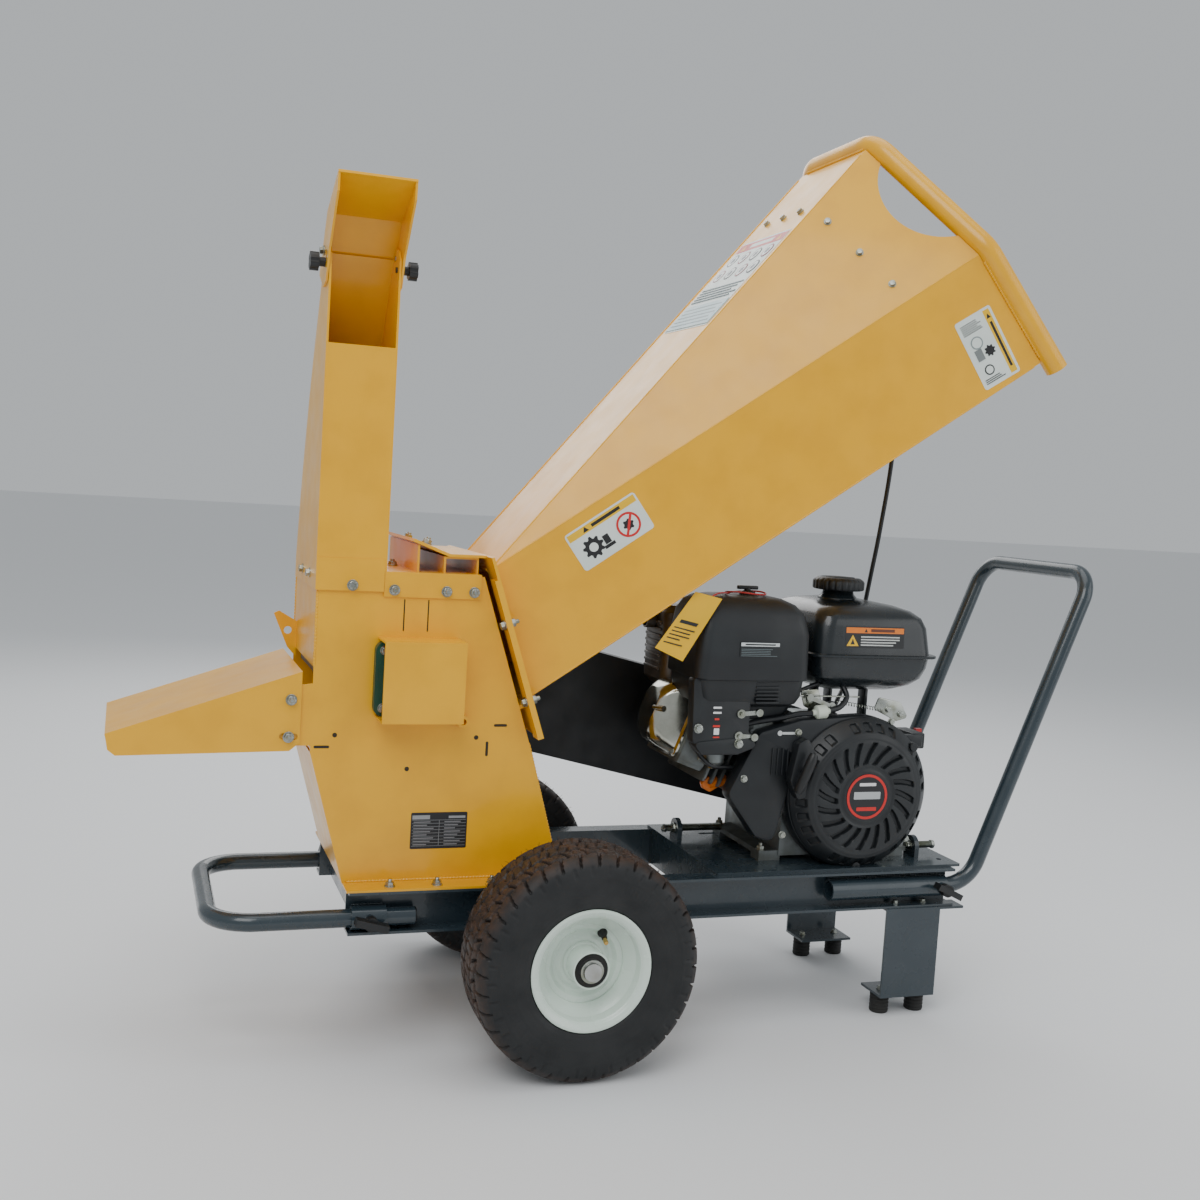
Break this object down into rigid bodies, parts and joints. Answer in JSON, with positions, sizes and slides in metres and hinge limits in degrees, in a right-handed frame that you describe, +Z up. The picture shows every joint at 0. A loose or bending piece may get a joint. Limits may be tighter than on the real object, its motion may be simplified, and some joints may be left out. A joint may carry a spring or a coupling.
{
  "type": "wood chipper",
  "caption": "Two-wheeled petrol wood chipper: sloping feed hopper, belt-driven knife drum, tall chute with tilting deflector, lower discharge hood, push handle and rubber feet.",
  "frame": {"origin": "on the ground, under the middle of the machine's overall box", "axes": "+Z up; +X from the discharge hood to the engine and push handle; +Y to the belt guard"},
  "size_m": [1.575, 0.643, 1.4158],
  "materials": {
    "yellow_paint": "gloss powder coat",
    "frame_paint": "gloss powder coat",
    "black_paint": "satin",
    "satin_black": "satin",
    "bright_steel": "turned",
    "tool_steel": "ground",
    "rotor_steel": "mill",
    "pulley_iron": "phosphated",
    "zinc": "zinc plated",
    "green_casting": "painted",
    "cast_alloy": "cast",
    "polished_alloy": "polished",
    "heat_steel": "heat tinted",
    "moulded_black": "moulded",
    "gloss_black": "semi-gloss",
    "knob_plastic": "moulded",
    "red_plastic": "gloss",
    "foot_rubber": "matte",
    "belt_rubber": "matte",
    "cable_rubber": "satin",
    "curtain_rubber": "matte",
    "tyre_rubber": "matte, dusty tread",
    "white_rim": "gloss"
  },
  "bodies": {
    "machine": {"rail_left": "frame_paint", "rail_right": "frame_paint", "cross_members": "frame_paint", "axle": "bright_steel", "rear_legs": "frame_paint", "rubber_feet": "foot_rubber", "engine_plate": "frame_paint", "housing_sides": "yellow_paint", "housing_wrapper": "yellow_paint", "housing_top": "yellow_paint", "anvil": "tool_steel", "bearing_cover": "yellow_paint", "flange_bearings": "green_casting", "chute": "yellow_paint", "hopper_flange": "yellow_paint", "hopper_trough": "yellow_paint", "hopper_hood": "yellow_paint", "hopper_lip_tube": "yellow_paint", "belt_guard": "black_paint", "v_belts": "belt_rubber", "engine_block": "cast_alloy", "valve_cover": "polished_alloy", "fan_shroud": "satin_black", "recoil_cover": "moulded_black", "fuel_tank": "gloss_black", "air_cleaner": "moulded_black", "control_cover": "moulded_black", "muffler": "heat_steel", "stop_box": "moulded_black", "stop_lead": "cable_rubber", "bolts": "zinc"},
    "wheel_left": {"tyre_left": "tyre_rubber", "rim_left": "white_rim"},
    "wheel_right": {"tyre_right": "tyre_rubber", "rim_right": "white_rim"},
    "front_handle": {"front_handle": "frame_paint"},
    "rear_handle": {"rear_handle": "frame_paint"},
    "front_knob_left": {"front_knob_left": "knob_plastic"},
    "front_knob_right": {"front_knob_right": "knob_plastic"},
    "rear_knob_left": {"rear_knob_left": "knob_plastic"},
    "rear_knob_right": {"rear_knob_right": "knob_plastic"},
    "rotor": {"rotor_shaft": "bright_steel", "rotor_drum": "rotor_steel", "knives": "tool_steel", "rotor_pulley": "pulley_iron"},
    "crank": {"crankshaft": "bright_steel", "clutch_pulley": "pulley_iron", "flywheel_fan": "cast_alloy"},
    "deflector": {"deflector": "yellow_paint"},
    "deflector_knob_left": {"deflector_knob_left": "knob_plastic"},
    "deflector_knob_right": {"deflector_knob_right": "knob_plastic"},
    "discharge_hood": {"discharge_hood": "yellow_paint"},
    "feed_curtain": {"feed_curtain": "curtain_rubber"},
    "recoil_handle": {"recoil_handle": "moulded_black"},
    "fuel_cap": {"fuel_cap": "moulded_black"},
    "choke_lever": {"choke_lever": "zinc"},
    "fuel_lever": {"fuel_lever": "zinc"},
    "throttle_lever": {"throttle_lever": "zinc"},
    "engine_switch": {"engine_switch": "red_plastic"},
    "stop_button": {"stop_button": "red_plastic"}
  },
  "joints": [
    {"name": "wheel_left_spin", "type": "hinge", "parent": "machine", "child": "wheel_left", "pos_m": [-0.13854, -0.258, 0.165], "axis": [0, 1, 0], "continuous": true},
    {"name": "wheel_right_spin", "type": "hinge", "parent": "machine", "child": "wheel_right", "pos_m": [-0.13854, 0.258, 0.165], "axis": [0, 1, 0], "continuous": true},
    {"name": "rotor_spin", "type": "hinge", "parent": "machine", "child": "rotor", "pos_m": [-0.37454, 0, 0.545], "axis": [0, 1, 0], "continuous": true},
    {"name": "crank_spin", "type": "hinge", "parent": "machine", "child": "crank", "pos_m": [0.36846, 0, 0.367], "axis": [0, 1, 0], "continuous": true},
    {"name": "front_handle_slide", "type": "slide", "parent": "machine", "child": "front_handle", "axis": [-1, 0, 0], "range_m": [-0.12, 0.03]},
    {"name": "rear_handle_slide", "type": "slide", "parent": "machine", "child": "rear_handle", "axis": [1, 0, 0], "range_m": [0, 0.12]},
    {"name": "front_knob_left_turn", "type": "hinge", "parent": "machine", "child": "front_knob_left", "pos_m": [-0.42554, -0.18, 0.204], "axis": [0, 1, 0], "range_deg": [-180, 180]},
    {"name": "front_knob_right_turn", "type": "hinge", "parent": "machine", "child": "front_knob_right", "pos_m": [-0.42554, 0.18, 0.204], "axis": [0, 1, 0], "range_deg": [-180, 180]},
    {"name": "rear_knob_left_turn", "type": "hinge", "parent": "machine", "child": "rear_knob_left", "pos_m": [0.51646, -0.18, 0.214], "axis": [0, 1, 0], "range_deg": [-180, 180]},
    {"name": "rear_knob_right_turn", "type": "hinge", "parent": "machine", "child": "rear_knob_right", "pos_m": [0.51646, 0.18, 0.214], "axis": [0, 1, 0], "range_deg": [-180, 180]},
    {"name": "deflector_tilt", "type": "hinge", "parent": "machine", "child": "deflector", "pos_m": [-0.46654, -0.092, 1.14], "axis": [1, 0, 0], "range_deg": [0, 35]},
    {"name": "deflector_knob_left_turn", "type": "hinge", "parent": "machine", "child": "deflector_knob_left", "pos_m": [-0.52854, -0.108, 1.122], "axis": [1, 0, 0], "range_deg": [-180, 180]},
    {"name": "deflector_knob_right_turn", "type": "hinge", "parent": "machine", "child": "deflector_knob_right", "pos_m": [-0.40354, -0.108, 1.122], "axis": [1, 0, 0], "range_deg": [-180, 180]},
    {"name": "discharge_hood_tilt", "type": "hinge", "parent": "machine", "child": "discharge_hood", "pos_m": [-0.54254, 0, 0.513], "axis": [0, 1, 0], "range_deg": [-8, 8]},
    {"name": "feed_curtain_swing", "type": "hinge", "parent": "machine", "child": "feed_curtain", "pos_m": [0.22746, 0, 1.276], "axis": [0, 1, 0], "range_deg": [0, 30]},
    {"name": "recoil_pull", "type": "slide", "parent": "machine", "child": "recoil_handle", "axis": [-0.342, -0.9397, 0], "range_m": [0, 0.5], "stiffness_N_per_m": 30, "springref_m": -0.05},
    {"name": "fuel_cap_turn", "type": "hinge", "parent": "machine", "child": "fuel_cap", "pos_m": [0.36646, -0.02, 0.695], "axis": [0, 0, 1], "range_deg": [0, 90]},
    {"name": "choke_lever_turn", "type": "hinge", "parent": "machine", "child": "choke_lever", "pos_m": [0.14746, -0.138, 0.497], "axis": [0, 1, 0], "range_deg": [0, 35]},
    {"name": "fuel_lever_turn", "type": "hinge", "parent": "machine", "child": "fuel_lever", "pos_m": [0.14546, -0.138, 0.462], "axis": [0, 1, 0], "range_deg": [-10, 30]},
    {"name": "throttle_lever_turn", "type": "hinge", "parent": "machine", "child": "throttle_lever", "pos_m": [0.31646, -0.116, 0.506], "axis": [0, 1, 0], "range_deg": [-4, 16]},
    {"name": "engine_switch_turn", "type": "hinge", "parent": "machine", "child": "engine_switch", "pos_m": [0.50346, -0.062, 0.446], "axis": [1, 0, 0], "range_deg": [0, 60]},
    {"name": "stop_button_press", "type": "slide", "parent": "machine", "child": "stop_button", "axis": [-1, 0, 0], "range_m": [0, 0.004], "stiffness_N_per_m": 800, "springref_m": -0.002}
  ],
  "couplings": [
    {"joint": "crank_spin", "follows": "rotor_spin", "ratio": 1.3636}
  ]
}
